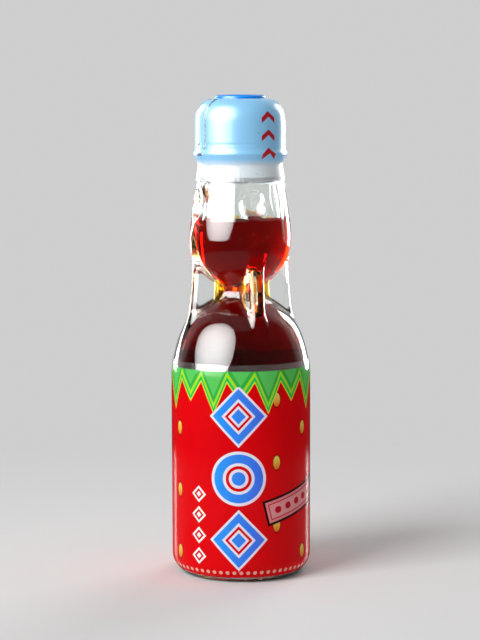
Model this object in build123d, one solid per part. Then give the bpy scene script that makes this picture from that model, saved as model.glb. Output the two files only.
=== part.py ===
"""A 200 ml marble stopper bottle for a fizzy drink, closed and full.

Millimetres, +Z up. The origin is the centre of the foot ring, on the surface that the bottle stands on.
The front of the bottle faces -Y, and +X is on the right. Angles are counted from +X about +Z.

The glass is one blown piece: a straight body, a domed shoulder, a pinched waist that the marble can't pass,
a round chamber over it and a tapering neck. Four ridges stand round the waist with a dent between each two.
The marble is pressed up against a rubber ring in the mouth. A plastic collar holds that ring down. Over it
sits the opener, a domed ring with a plunger in its middle that breaks free and pushes the marble in.
"""

import os
from math import acos, atan2, cos, degrees, hypot, radians, sin, sqrt

from build123d import *

# Shared clearances
overrun = 5.0  # how far a cutter reaches past what it cuts
film_gap = 0.1  # between a film and what it is shrunk on
film_thickness = 0.2
drink_gap = 0.15  # between the drink and the glass
slide_gap = 0.3  # between the opener and the collar that it lifts off

# Body of the glass
body_diameter = 57.8
wall = 4.2
base_corner_radius = 8.0
foot_width = 2.2
punt_height = 3.2  # how far the underside is pushed up in the middle
base_thickness = 5.8
floor_dish = 2.2  # how far the floor inside falls from its middle to its edge
punt_share = 0.62  # a point on the curve of the punt and of the floor: its share of the radius
punt_rise_share = 0.66  # and its share of the height
floor_drop_share = 0.36
body_top = 84.0  # where the straight wall ends and the shoulder begins

# Shoulder: a dome from the straight wall in to the waist. Shares of its width and of its height.
dome_top = 115.4
dome_width_shares = (1.0, 0.881, 0.645, 0.305, 0.0)
dome_height_shares = (0.0, 0.424, 0.710, 0.895, 1.0)
dome_end_angle = 28.0  # of the dome above the horizontal where it meets the waist

# Waist between the body and the chamber
waist_diameter = 18.6
waist_length = 7.2
waist_flare = 1.7  # how much wider the waist is at its two ends
passage_diameter = 12.4
passage_flare = 1.2
dome_inset = 3.0  # how far the inner dome lies under the outer one at the waist

# Ridges round the waist
ridge_count = 4
first_ridge_angle = -70.0
ridge_width = 7.0
ridge_foot_height = 99.5
ridge_foot_radius = 24.6
ridge_middle_radius = 22.1
ridge_middle_height = 114.5
ridge_sink = 0.1  # how far the top of a ridge lies under the skin of the chamber
ridge_wall = 4.0  # glass outside the groove that runs down the inside of a ridge
groove_width = 2.4
ridge_round_share = 0.48  # radius on each edge of a ridge, as a share of its width

# Chamber and neck
chamber_radius = 21.3
neck_blend_radius = 50.0
neck_top_radius = 17.4
neck_length = 30.16  # from the widest of the chamber up to the top of the taper
throat_length = 8.2  # the neck thickens in to the bore of the mouth over this length, up to the ledge

# Two dimples that catch the marble while the drink is poured
dimple_angles = (-73.0, -157.0)
dimple_drop = 15.5  # under the top of the neck
dimple_radius = 5.0
dimple_depth = 3.5
dimple_wall = 3.6

# Mouth of the glass, over a ledge at the top of the neck
ledge_rise = 1.2
ledge_inset = 0.4
mouth_length = 12.8
mouth_radius = 14.2
mouth_bead = 0.6
mouth_bead_rise = 4.8  # over the ledge
mouth_bore_radius = 9.8
rim_chamfer = 0.5

# Marble and the rubber ring that it seals against
marble_diameter = 17.0
marble_gap = 0.05
gasket_inset = 1.0  # of its outside from the outside of the mouth
gasket_inner_radius = 7.2
gasket_thickness = 2.2

# Collar snapped on the mouth
collar_wall = 2.2
collar_top_thickness = 1.6
collar_bore_radius = 7.6
collar_bottom_gap = 0.8
collar_lip = 0.6
collar_lip_height = 1.2
collar_chamfer = 0.5

# Opener: domed ring and plunger
opener_wall = 1.84
opener_bottom_gap = 0.6  # over the ledge of the glass
opener_seat_gap = 0.2  # over the lip of the collar
bulge_width = 0.84  # how far the bulge stands out of the straight side
bulge_undercut = 0.54  # how far the lower edge lies in from the straight side
bulge_rise = 3.0  # from the lower edge up to the widest of the bulge
bulge_shoulder_rise = 1.8  # from there up to the straight side
opener_dome_height = 9.4
opener_top_wall = 1.5
opener_hole_land = 0.7  # the flat round the hole
opener_hole_gap = 0.6

plunger_stroke = 8.5
plunger_landing_gap = 0.1
plunger_radius = 10.8
plunger_thickness = 2.3
plunger_proud = 1.3  # how far the disc stands over the ring round it
plunger_edge_radius = 0.6
post_radius = 5.0
post_rib = 2.0
post_tip_thickness = 1.0
post_marble_gap = 0.3

tab_count = 4
tab_width = 1.6
tab_thickness = 0.7
tab_break_gap = 0.1

# Shrink film over the opener, with its tear strip
film_neck_reach = 6.8  # how far the film comes down over the neck
film_hole_overlap = 0.6  # how far it laps over the plunger's edge
film_step = 0.2
strip_angle = -154.0
strip_width = 9.0
strip_bottom_rise = 2.7  # over the lower edge of the opener
strip_top_inset = 1.1  # of its upper end from the flat round the hole
strip_gap = 0.1
strip_corner_width = 1.4
strip_corner_height = 3.3
strip_slot_width = 2.6
strip_slot_thickness = 0.8
strip_slot_rise = 4.0  # over the lower end of the strip

# Printed sleeve shrunk round the body, and the drink
label_shoulder_rise = 6.5  # how far the sleeve reaches up on to the shoulder
label_bottom_angle = 55.0  # how far round the corner of the base the sleeve reaches
fill_rise = 7.16  # of the drink's surface over the widest of the chamber

# Worked out from the sizes above
body_radius = body_diameter / 2
waist_radius = waist_diameter / 2
waist_end_radius = waist_radius + waist_flare
bowl_bottom = dome_top + waist_length
chamber_centre = bowl_bottom + sqrt(chamber_radius**2 - waist_end_radius**2)
neck_top = chamber_centre + neck_length
fill_height = chamber_centre + fill_rise
passage_radius = passage_diameter / 2
passage_end_radius = passage_radius + passage_flare
ledge_height = neck_top + ledge_rise
ledge_radius = neck_top_radius - ledge_inset
rim_height = ledge_height + mouth_length
marble_radius = marble_diameter / 2
marble_height = rim_height - marble_gap - sqrt(marble_radius**2 - gasket_inner_radius**2)
collar_radius = mouth_radius + collar_wall
collar_bottom = ledge_height + collar_bottom_gap
collar_top = rim_height + gasket_thickness + collar_top_thickness
opener_radius = collar_radius + slide_gap + opener_wall
plunger_bottom = collar_top + plunger_landing_gap + plunger_stroke
plunger_top = plunger_bottom + plunger_thickness
opener_top = plunger_top - plunger_proud
opener_side_top = opener_top - opener_dome_height
opener_hole_radius = plunger_radius + opener_hole_gap
opener_dome_inner_radius = opener_hole_radius + opener_hole_land
opener_bottom = ledge_height + opener_bottom_gap
bulge_radius = opener_radius + bulge_width
bulge_bottom_radius = opener_radius - bulge_undercut
bulge_height = opener_bottom + bulge_rise
bulge_top_height = bulge_height + bulge_shoulder_rise
film_bottom = neck_top - film_neck_reach
film_hole_radius = plunger_radius - film_hole_overlap
strip_bottom = opener_bottom + strip_bottom_rise
floor_height = punt_height + base_thickness


def turned(edges):
    """The solid that an outline in the XZ plane sweeps when it turns once about the Z axis.

    The edges run from the axis out and back to it, and the axis itself closes them."""
    wire = Wire([edge.edge() for edge in edges])
    face = Face(Wire([*wire.edges(), Line(wire @ 1, wire @ 0).edge()]))
    return revolve(Plane.XZ * face, Axis.Z, 360)


def chain(*points):
    """Straight edges from point to point."""
    return [Line(a, b) for a, b in zip(points, points[1:])]


def tube(outer, inner, low, high):
    """A plain ring about the Z axis."""
    return disc(outer, low, high) - disc(inner, low - overrun, high + overrun)


def disc(radius, low, high):
    """A plain round disc about the Z axis."""
    return Pos(0, 0, low) * extrude(Circle(radius), high - low)


def turned_by(angle, shape):
    """A shape that is drawn along +X, turned to its angle."""
    return Rotation(0, 0, angle) * shape


# Curves of the glass


def taper_start():
    """Where the curve over the chamber runs into the straight taper of the neck, and the angle there."""
    across = neck_top_radius - chamber_radius + neck_blend_radius
    rise = neck_top - chamber_centre
    angle = atan2(rise, across) - acos(neck_blend_radius / hypot(across, rise))
    radius = chamber_radius - neck_blend_radius + neck_blend_radius * cos(angle)
    return radius, chamber_centre + neck_blend_radius * sin(angle), angle


def neck_radius(height):
    """Outer radius of the neck's straight taper at a height."""
    radius, start, _ = taper_start()
    return radius + (neck_top_radius - radius) * (height - start) / (neck_top - start)


def dimple_place(angle):
    """The centre of the ball that presses a dimple into the neck."""
    height = neck_top - dimple_drop
    reach = neck_radius(height) - dimple_depth + dimple_radius
    return Rotation(0, 0, angle) * Pos(reach, 0, height)


def dome(outer, inner, top):
    """The shoulder's curve from the body in to the waist."""
    points = [
        (inner + width * (outer - inner), body_top + height * (top - body_top))
        for width, height in zip(dome_width_shares, dome_height_shares)
    ]
    end = (-cos(radians(dome_end_angle)), sin(radians(dome_end_angle)))
    return Spline(*points, tangents=[(0, 1), end])


def bowl(radius, waist_end):
    """The round chamber from the waist up to its widest."""
    reach = degrees(acos(waist_end / radius))
    return CenterArc((0, chamber_centre), radius, -reach, reach)


def blend(inset):
    """The curve over the chamber, from its widest up to the taper of the neck."""
    centre = (chamber_radius - neck_blend_radius, chamber_centre)
    return CenterArc(centre, neck_blend_radius - inset, 0, degrees(taper_start()[2]))


def body_curves(growth):
    """The outside of the body and the shoulder, or of a skin that lies round it."""
    corner = (body_radius - base_corner_radius, base_corner_radius)
    return [
        Line((0, -growth), (corner[0], -growth)),
        CenterArc(corner, base_corner_radius + growth, -90, 90),
        Line((body_radius + growth, corner[1]), (body_radius + growth, body_top)),
        dome(body_radius + growth, waist_end_radius + growth, dome_top),
    ]


def outer_glass():
    """The glass as if it were solid: the revolved body, its ridges and the marks in its skin."""
    waist_middle = (waist_radius, (dome_top + bowl_bottom) / 2)
    waist_curve = ThreePointArc((waist_end_radius, dome_top), waist_middle, (waist_end_radius, bowl_bottom))
    mouth = chain(
        (neck_top_radius, neck_top),
        (ledge_radius, ledge_height),
        (mouth_radius, ledge_height),
        (mouth_radius, rim_height - rim_chamfer),
        (mouth_radius - rim_chamfer, rim_height),
        (0, rim_height),
    )
    top_curve = blend(0)
    neck = Line(top_curve @ 1, (neck_top_radius, neck_top))
    bowl_curve = bowl(chamber_radius, waist_end_radius)
    solid = turned([*body_curves(0), waist_curve, bowl_curve, top_curve, neck, *mouth])
    solid += Pos(0, 0, ledge_height + mouth_bead_rise) * Torus(mouth_radius - mouth_bead, 2 * mouth_bead)
    for number in range(ridge_count):
        solid += turned_by(ridge_angle(number), ridge(0, ridge_width))
    for angle in dimple_angles:
        solid -= dimple_place(angle) * Sphere(dimple_radius)
    punt_radius = body_radius - base_corner_radius - foot_width
    punt_middle = (punt_radius * punt_share, punt_height * punt_rise_share)
    punt = ThreePointArc((0, punt_height), punt_middle, (punt_radius, 0))
    return solid - turned([*chain((0, -overrun), (punt_radius, -overrun), (punt_radius, 0)), punt])


def ridge_angle(number):
    """Where each ridge stands round the bottle."""
    return first_ridge_angle + number * 360 / ridge_count


def ridge(inset, width):
    """One ridge along +X: a plate with a rounded outer edge, from the shoulder up to the chamber's widest.

    With an inset, it is the groove that runs down inside the ridge."""
    foot = (ridge_foot_radius - inset, ridge_foot_height)
    middle = (ridge_middle_radius - inset, ridge_middle_height)
    head = (chamber_radius - ridge_sink - inset, chamber_centre)
    edges = [Line((0, foot[1]), foot), ThreePointArc(foot, middle, head), Line(head, (0, head[1]))]
    face = Plane.XZ * Face(Wire([*[edge.edge() for edge in edges], Line((0, head[1]), (0, foot[1])).edge()]))
    plate = extrude(face, width / 2, both=True)
    long_edges = plate.edges().filter_by(GeomType.CIRCLE)
    return fillet(long_edges, width * ridge_round_share)


def cavity(inset):
    """The space inside the glass, up through the mouth, or that space drawn in by an inset."""
    side = body_radius - wall - inset
    corner = base_corner_radius
    floor_edge = floor_height - floor_dish + inset
    top = floor_height + inset
    floor_middle = ((side - corner) * punt_share, top - floor_dish * floor_drop_share)
    floor = ThreePointArc((0, top), floor_middle, (side - corner, floor_edge))
    passage_end = passage_end_radius - inset
    room = chamber_radius - wall - inset
    dome_end = dome_top - dome_inset
    bowl_curve = bowl(room, passage_end)
    passage_middle = (passage_radius - inset, (dome_end + (bowl_curve @ 0).Y) / 2)
    passage_curve = ThreePointArc((passage_end, dome_end), passage_middle, bowl_curve @ 0)
    blend_curve = blend(wall + inset)
    throat_bottom = ledge_height - throat_length
    neck_end = (neck_radius(throat_bottom) - wall - inset, throat_bottom)
    bore = mouth_bore_radius - inset
    solid = turned(
        [
            floor,
            CenterArc((side - corner, floor_edge + corner), corner, -90, 90),
            Line((side, floor_edge + corner), (side, body_top)),
            dome(side, passage_end, dome_end),
            passage_curve,
            bowl_curve,
            blend_curve,
            Line(blend_curve @ 1, neck_end),
            *chain(neck_end, (bore, ledge_height), (bore, rim_height + overrun), (0, rim_height + overrun)),
        ]
    )
    for number in range(ridge_count):
        solid += turned_by(ridge_angle(number), ridge(ridge_wall + inset, groove_width - 2 * inset))
    for angle in dimple_angles:
        solid -= dimple_place(angle) * Sphere(dimple_radius + dimple_wall + inset)
    return solid


# Pieces that stay with the bottle


def glass_bottle():
    return outer_glass() - cavity(0)


def drink():
    return cavity(drink_gap) & disc(body_radius, 0, fill_height)


def marble():
    return Pos(0, 0, marble_height) * Sphere(marble_radius)


def mouth_gasket():
    return tube(mouth_radius - gasket_inset, gasket_inner_radius, rim_height, rim_height + gasket_thickness)


def mouth_collar(glass):
    """The collar grips the bead round the mouth and holds the gasket down on the rim."""
    inner_top = rim_height + gasket_thickness
    shell = disc(collar_radius, collar_bottom, collar_top)
    shell = chamfer(shell.edges().group_by(Axis.Z)[-1], collar_chamfer)
    shell += disc(collar_radius + collar_lip, collar_bottom, collar_bottom + collar_lip_height)
    shell -= disc(mouth_radius, collar_bottom - overrun, inner_top)
    shell -= disc(collar_bore_radius, inner_top - overrun, collar_top + overrun)
    return shell - glass


def label_sleeve():
    """The sleeve follows the body from the corner of its base up on to the shoulder."""
    inner = turned([*body_curves(film_gap), Line((waist_end_radius + film_gap, dome_top), (0, dome_top))])
    thick = film_gap + film_thickness
    outer = turned([*body_curves(thick), Line((waist_end_radius + thick, dome_top), (0, dome_top))])
    bottom = base_corner_radius * (1 - sin(radians(label_bottom_angle)))
    return (outer - inner) & disc(body_radius + overrun, bottom, body_top + label_shoulder_rise)


# Pieces of the opener


def dome_top_curve(growth):
    """The round top of the opener from its straight side in to the flat round its hole."""
    centre = (opener_dome_inner_radius, opener_side_top)
    across = opener_radius - opener_dome_inner_radius + growth
    return EllipticalCenterArc(centre, across, opener_dome_height + growth, start_angle=0, arc_size=90)


def opener_side(growth):
    """The outside of the opener from its lower edge up to its straight side, with the bulge."""
    return chain(
        (bulge_bottom_radius + growth, opener_bottom),
        (bulge_radius + growth, bulge_height),
        (opener_radius + growth, bulge_top_height),
        (opener_radius + growth, opener_side_top),
    )


def opener_ring():
    outer = turned(
        [
            Line((0, opener_bottom), (bulge_bottom_radius, opener_bottom)),
            *opener_side(0),
            dome_top_curve(0),
            Line((opener_dome_inner_radius, opener_top), (0, opener_top)),
        ]
    )
    lip_top = collar_bottom + collar_lip_height + opener_seat_gap
    bore = collar_radius + slide_gap
    room = turned(
        [
            Line((0, lip_top), (bore, lip_top)),
            Line((bore, lip_top), (bore, opener_side_top)),
            EllipticalCenterArc(
                (opener_dome_inner_radius, opener_side_top),
                bore - opener_dome_inner_radius,
                opener_top - opener_top_wall - opener_side_top,
                start_angle=0,
                arc_size=90,
            ),
            Line((opener_dome_inner_radius, opener_top - opener_top_wall), (0, opener_top - opener_top_wall)),
        ]
    )
    lip_room = disc(bore + collar_lip, opener_bottom - overrun, lip_top)
    return outer - room - lip_room - disc(opener_hole_radius, opener_side_top, opener_top + overrun)


def plunger():
    """A disc to press on, and under it a post of four ribs with a round tip that meets the marble."""
    plate = disc(plunger_radius, plunger_bottom, plunger_top)
    plate = fillet(plate.edges().group_by(Axis.Z)[-1], plunger_edge_radius)
    tip = marble_height + marble_radius + post_marble_gap
    height = plunger_bottom - tip
    rib = Box(2 * post_radius, post_rib, height, align=(Align.CENTER, Align.CENTER, Align.MIN))
    post = Pos(0, 0, tip) * (rib + Rotation(0, 0, 90) * rib) & disc(post_radius, tip, plunger_bottom)
    return plate + post + disc(post_radius, tip, tip + post_tip_thickness)


def break_tabs():
    """Small bridges that hold the plunger in the hole of the opener until it is broken out."""
    low = (opener_top + opener_top - opener_top_wall - tab_thickness) / 2
    ring = tube(opener_hole_radius, plunger_radius + tab_break_gap, low, low + tab_thickness)
    bar = Box(opener_hole_radius, tab_width, opener_top, align=(Align.MIN, Align.CENTER, Align.MIN))
    tabs = [turned_by(tab * 360 / tab_count, bar) & ring for tab in range(tab_count)]
    return Compound(children=[tab.solid() for tab in tabs])


def strip_region(margin):
    """What the tear strip takes out of the film, cut square to the film, with a margin all round."""
    side = strip_width / 2 + margin
    low = strip_bottom - margin
    inner = side - strip_corner_width
    points = [
        (-side, plunger_top + overrun),
        (-side, low + strip_corner_height),
        (-inner, low),
        (inner, low),
        (side, low + strip_corner_height),
        (side, plunger_top + overrun),
    ]
    face = Plane.YZ * Face(Wire(Polyline(*points, close=True).edges()))
    block = Pos(opener_dome_inner_radius + strip_top_inset - margin, 0, 0) * extrude(face, bulge_radius)
    return turned_by(strip_angle, block)


def film_body(growth):
    """The neck, the opener and the edge of the plunger's disc, grown all round."""
    rim = plunger_radius + film_step + growth
    return turned(
        [
            Line((0, film_bottom), (neck_radius(film_bottom) + growth, film_bottom)),
            Line((neck_radius(film_bottom) + growth, film_bottom), (neck_top_radius + growth, neck_top)),
            Line((neck_top_radius + growth, neck_top), (bulge_bottom_radius + growth, opener_bottom)),
            *opener_side(growth),
            dome_top_curve(growth),
            Line((opener_dome_inner_radius, opener_top + growth), (rim, plunger_top + growth)),
            Line((rim, plunger_top + growth), (0, plunger_top + growth)),
        ]
    )


def film_skin():
    """The whole film as it was shrunk on, with the hole over the plunger."""
    skin = film_body(film_gap + film_thickness) - film_body(film_gap)
    return skin - disc(film_hole_radius, opener_side_top, plunger_top + overrun)


def seal_film(skin):
    return skin - strip_region(strip_gap)


def tear_strip(skin):
    placed = (Align.MIN, Align.CENTER, Align.CENTER)
    slot = Box(2 * bulge_radius, strip_slot_width, strip_slot_thickness, align=placed)
    return (skin & strip_region(0)) - turned_by(strip_angle, Pos(0, 0, strip_bottom + strip_slot_rise) * slot)


def main():
    os.makedirs("parts", exist_ok=True)
    glass = glass_bottle()
    skin = film_skin()
    pieces = {
        "glass_bottle": glass,
        "drink": drink(),
        "marble": marble(),
        "mouth_gasket": mouth_gasket(),
        "mouth_collar": mouth_collar(glass),
        "label_sleeve": label_sleeve(),
        "opener_ring": opener_ring(),
        "plunger": plunger(),
        "break_tabs": break_tabs(),
        "seal_film": seal_film(skin),
        "tear_strip": tear_strip(skin),
    }
    for name, shape in pieces.items():
        export_step(shape, f"parts/{name}.step")
    print(f"drink holds {pieces['drink'].volume / 1000:.1f} ml and the marble sits at {marble_height:.3f} mm")


main()
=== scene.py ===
# %% [markdown]
# # A marble stopper bottle, full and sealed
#
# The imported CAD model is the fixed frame: it holds the real sizes, the bodies and the joints. This script dresses it.
# The glass, the drink, the two films and the parts of the opener each get a smooth mesh of their own in the same
# place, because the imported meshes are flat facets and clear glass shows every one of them.

# %% Load the frame
from math import acos, atan2, cos, degrees, hypot, pi, radians, sin, sqrt

import bpy
import numpy as np
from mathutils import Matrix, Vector


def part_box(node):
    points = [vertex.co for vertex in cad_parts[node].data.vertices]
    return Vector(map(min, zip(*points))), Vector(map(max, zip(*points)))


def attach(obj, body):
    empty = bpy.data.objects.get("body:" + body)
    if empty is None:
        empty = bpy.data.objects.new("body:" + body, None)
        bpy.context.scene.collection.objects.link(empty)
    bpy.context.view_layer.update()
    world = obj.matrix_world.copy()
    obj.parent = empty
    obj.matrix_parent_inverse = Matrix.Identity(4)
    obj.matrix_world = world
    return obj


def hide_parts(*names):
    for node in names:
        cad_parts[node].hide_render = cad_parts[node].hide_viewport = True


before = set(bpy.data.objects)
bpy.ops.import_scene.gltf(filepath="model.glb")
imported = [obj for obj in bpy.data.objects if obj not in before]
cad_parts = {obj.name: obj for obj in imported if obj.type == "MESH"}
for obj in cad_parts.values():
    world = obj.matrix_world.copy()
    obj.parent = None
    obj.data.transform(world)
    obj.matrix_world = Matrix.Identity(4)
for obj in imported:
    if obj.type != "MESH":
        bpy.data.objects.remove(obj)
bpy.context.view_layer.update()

MM = 0.001

# %% [markdown]
# ## Sizes
#
# Everything below is in millimetres until the meshes are made. The outer sizes come from the frame's boxes, so a new
# pack moves the dressed part with it. The inner shape of the glass can't be read from a box, so its few driving
# sizes are written here as the CAD source has them.

# %% Sizes from the frame
def reach(node):
    """The largest radius of a round node, and its lowest and highest point, in millimetres."""
    low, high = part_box(node)
    return high.x / MM, low.z / MM, high.z / MM


body_radius, _, rim_height = reach("glass_bottle")
_, _, fill_height = reach("drink")
marble_radius, marble_low, marble_high = reach("marble")
gasket_radius, gasket_low, gasket_high = reach("mouth_gasket")
collar_radius, collar_low, collar_high = reach("mouth_collar")
_, label_low, label_high = reach("label_sleeve")
bulge_radius, opener_low, opener_high = reach("opener_ring")
plunger_radius, plunger_low, plunger_high = reach("plunger")
_, film_low, film_high = reach("seal_film")
print(f"body {body_radius:.2f}, rim {rim_height:.2f}, drink up to {fill_height:.2f}")

# %% Sizes of the glass
wall = 4.2
base_corner = 8.0
foot_width = 2.2
punt_height = 3.2
base_thickness = 5.8
floor_dish = 2.2
punt_share, punt_rise_share = 0.62, 0.66  # a point on the punt's curve: its share of the radius and of the height
floor_drop_share = 0.36  # how much of its dish the floor has dropped at the same share of its radius
foot_edge = 0.35  # how high over the table the punt's curve ends
body_top = 84.0
dome_top = 115.4
dome_shares = ((1.0, 0.0), (0.881, 0.424), (0.645, 0.710), (0.305, 0.895), (0.0, 1.0))
dome_end_angle = 28.0
dome_inset = 3.0
waist_radius = 9.3
waist_end = 11.0
waist_length = 7.2
passage_radius = 6.2
passage_end = 7.4
chamber_radius = 21.3
chamber_centre = dome_top + waist_length + sqrt(chamber_radius**2 - waist_end**2)
blend_radius = 50.0
neck_top = chamber_centre + 30.16
neck_top_radius = 17.4
ledge_height = neck_top + 1.2
ledge_radius = 17.0
throat_bottom = ledge_height - 8.2
mouth_radius = 14.2
mouth_bore = 9.8
bead_height = ledge_height + 4.8
bead_width = 0.6
print(f"widest of the chamber at {chamber_centre:.2f}, ledge at {ledge_height:.2f}")

# %% [markdown]
# ## Outlines
#
# Each round piece starts as an outline: pairs of radius and height that run round the section with the material on
# the left, so that the faces made from them point outwards. Three small functions draw the stretches, and a fourth
# lays points at an even spacing along them, because even rows keep the glass free of ripples in its highlights.

# %% Functions that draw outlines
def arc(centre, radius, start, end, steps=12):
    angles = np.radians(np.linspace(start, end, steps + 1))
    wide, tall = radius if isinstance(radius, tuple) else (radius, radius)
    return [(centre[0] + wide * cos(angle), centre[1] + tall * sin(angle)) for angle in angles]


def arc_through(start, middle, end, steps=24):
    """The short arc through three points, the way a drawing gives it."""
    (ax, ay), (bx, by), (cx, cy) = start, middle, end
    twice = 2 * (ax * (by - cy) + bx * (cy - ay) + cx * (ay - by))
    x = ((ax**2 + ay**2) * (by - cy) + (bx**2 + by**2) * (cy - ay) + (cx**2 + cy**2) * (ay - by)) / twice
    y = ((ax**2 + ay**2) * (cx - bx) + (bx**2 + by**2) * (ax - cx) + (cx**2 + cy**2) * (bx - ax)) / twice
    first, last = (degrees(atan2(py - y, px - x)) for px, py in (start, end))
    turn = (last - first + 180) % 360 - 180
    return arc((x, y), hypot(ax - x, ay - y), first, first + turn, steps)


def smooth_curve(points, start, end, steps=16):
    """A cubic spline through points, with unit directions at its two ends."""
    points = np.array(points, float)
    gaps = np.linalg.norm(np.diff(points, axis=0), axis=1)
    size = len(points)
    matrix = np.eye(size)
    right = np.zeros((size, 2))
    right[0], right[-1] = start, end
    for row in range(1, size - 1):
        before, after = gaps[row - 1], gaps[row]
        matrix[row, row - 1:row + 2] = after, 2 * (before + after), before
        rise_before = (points[row] - points[row - 1]) / before
        rise_after = (points[row + 1] - points[row]) / after
        right[row] = 3 * (after * rise_before + before * rise_after)
    slopes = np.linalg.solve(matrix, right)
    curve = []
    for span in range(size - 1):
        for share in np.linspace(0, 1, steps, endpoint=span == size - 2):
            away = share - 1
            curve.append(tuple(
                (1 + 2 * share) * away**2 * points[span] + share**2 * (3 - 2 * share) * points[span + 1]
                + gaps[span] * (share * away**2 * slopes[span] + share**2 * away * slopes[span + 1])
            ))
    return curve


def even(points, spacing, corner=25.0):
    """The same outline with points at an even spacing, and one on each corner."""
    points = [points[0]] + [b for a, b in zip(points, points[1:]) if hypot(b[0] - a[0], b[1] - a[1]) > 1e-6]
    points = np.array(points)
    steps = np.diff(points, axis=0)
    headings = np.unwrap(np.arctan2(steps[:, 1], steps[:, 0]))
    corners = [0, *(np.nonzero(np.abs(np.diff(headings)) > radians(corner))[0] + 1), len(points) - 1]
    rows = []
    for first, last in zip(corners, corners[1:]):
        piece = points[first:last + 1]
        along = np.concatenate([[0], np.cumsum(np.linalg.norm(np.diff(piece, axis=0), axis=1))])
        count = max(1, round(along[-1] / spacing))
        for place in np.linspace(0, along[-1], count, endpoint=False):
            rows.append((np.interp(place, along, piece[:, 0]), np.interp(place, along, piece[:, 1])))
    rows.append(tuple(points[-1]))
    return np.array(rows)


print("a quarter circle of 10 mm at 1 mm has", len(even(arc((0, 0), 10, 0, 90, 40), 1)), "points")

# %% [markdown]
# ## From outline to mesh
#
# A bottle is a lathe shape first: every row of the mesh is one point of the outline, turned about the axis. The
# function takes the radius as a table of rows by columns, so that ridges and dimples can push it in and out, and
# closes the shape in one vertex where the outline meets the axis.

# %% Turn an outline into a mesh
def full_turn(columns):
    return np.arange(columns) * 2 * pi / columns


def spread(rows, angles):
    """The radius and the height of each row, repeated for every column."""
    return [np.repeat(column[:, None], len(angles), 1) for column in rows.T]


def lathe(name, rows, angles, radii=None, sharp=35.0):
    """A closed mesh from an outline that starts and ends on the axis, or that runs round and meets itself."""
    plain_radii, heights = spread(rows, angles)
    if radii is None:
        radii = plain_radii
    to_axis = rows[0, 0] < 1e-6
    inner = slice(1, -1) if to_axis else slice(None)
    ring = np.stack([radii * np.cos(angles), radii * np.sin(angles), heights], -1)[inner]
    count, around = ring.shape[:2]
    vertices = ring.reshape(-1, 3)
    index = np.arange(count * around).reshape(count, around)
    if not to_axis:
        index = np.concatenate([index, index[:1]])
    beside = np.roll(index, -1, axis=1)
    faces = np.stack([index[:-1], beside[:-1], beside[1:], index[1:]], -1).reshape(-1, 4).tolist()
    if to_axis:
        low, high = len(vertices), len(vertices) + 1
        vertices = np.concatenate([vertices, [[0, 0, rows[0, 1]], [0, 0, rows[-1, 1]]]])
        faces += [(low, b, a) for a, b in zip(index[0], beside[0])]
        faces += [(high, a, b) for a, b in zip(index[-1], beside[-1])]
    return mesh_object(name, vertices, faces, sharp)


def in_scene(name, data):
    """An object with this data, linked to the scene."""
    made = bpy.data.objects.new(name, data)
    bpy.context.scene.collection.objects.link(made)
    return made


def applied(piece):
    """A plain mesh of a piece with its modifiers applied."""
    evaluated = piece.evaluated_get(bpy.context.evaluated_depsgraph_get())
    return bpy.data.meshes.new_from_object(evaluated)


def mesh_object(name, vertices, faces, sharp=35.0):
    mesh = bpy.data.meshes.new(name)
    mesh.from_pydata((np.array(vertices) * MM).tolist(), [], faces)
    mesh.shade_smooth()
    mesh.set_sharp_from_angle(angle=radians(sharp))
    return in_scene(name, mesh)


def place(piece, body, slot, *nodes):
    """Lets a finished piece ride on its body and stand for its CAD nodes. Its slot is not used."""
    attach(piece, body)
    if nodes:
        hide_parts(*nodes)
    faces = sum(len(polygon.vertices) - 2 for polygon in piece.data.polygons)
    print(f"{piece.name}: {faces} triangles on {body}")

# %% [markdown]
# ## Camera
#
# The photograph looks down on the bottle by six degrees from a little under 0.8 m, which the ellipses of the sleeve's
# edges and of the drink's surface give. Its frame is 480 by 640, and the lens is worked out from that height.

# %% Camera at the photograph's angle
image_height = 640
focal_pixels = 1875.16
camera_distance = 782.7
camera_height = 187.6
camera_pitch = 5.943
camera_roll = 0.14
camera_shift = -0.1

camera_data = bpy.data.cameras.new("camera")
camera_data.sensor_width = 36.0
camera_data.lens = camera_data.sensor_width * focal_pixels / image_height
camera = in_scene("camera", camera_data)
camera.location = (camera_shift * MM, -camera_distance * MM, camera_height * MM)
camera.rotation_euler = (radians(90 - camera_pitch), radians(camera_roll), 0)
bpy.context.scene.camera = camera
print(f"lens {camera_data.lens:.1f} mm")

# %% [markdown]
# ## The glass
#
# The bottle is blown in one piece from soda-lime glass. It could be turned and then cut by modelled ridges, but
# boolean edges break the highlights. Here the ridges, the dents between them and the two dimples are formulas on the
# radius instead, joined by soft fillets as hot glass is, and one mesh holds the outside and the inside.

# %% Outline of the glass, outside and inside
def dome(outer, inner, top):
    points = [(inner + wide * (outer - inner), body_top + tall * (top - body_top)) for wide, tall in dome_shares]
    return smooth_curve(points, (0, 1), (-cos(radians(dome_end_angle)), sin(radians(dome_end_angle))))


rise = neck_top - chamber_centre
across = neck_top_radius - chamber_radius + blend_radius
taper_angle = atan2(rise, across) - acos(blend_radius / hypot(across, rise))
taper_start = (
    chamber_radius - blend_radius + blend_radius * cos(taper_angle),
    chamber_centre + blend_radius * sin(taper_angle),
)


def neck_radius(height):
    share = (height - taper_start[1]) / (neck_top - taper_start[1])
    return taper_start[0] + (neck_top_radius - taper_start[0]) * share


def chamber(radius, end):
    """The round chamber from the waist up to its widest, and the long curve over it."""
    inset = chamber_radius - radius
    bowl = arc((0, chamber_centre), radius, -degrees(acos(end / radius)), 0, 40)
    over = arc((chamber_radius - blend_radius, chamber_centre), blend_radius - inset, 0, degrees(taper_angle), 24)
    return bowl, over[1:]


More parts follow.
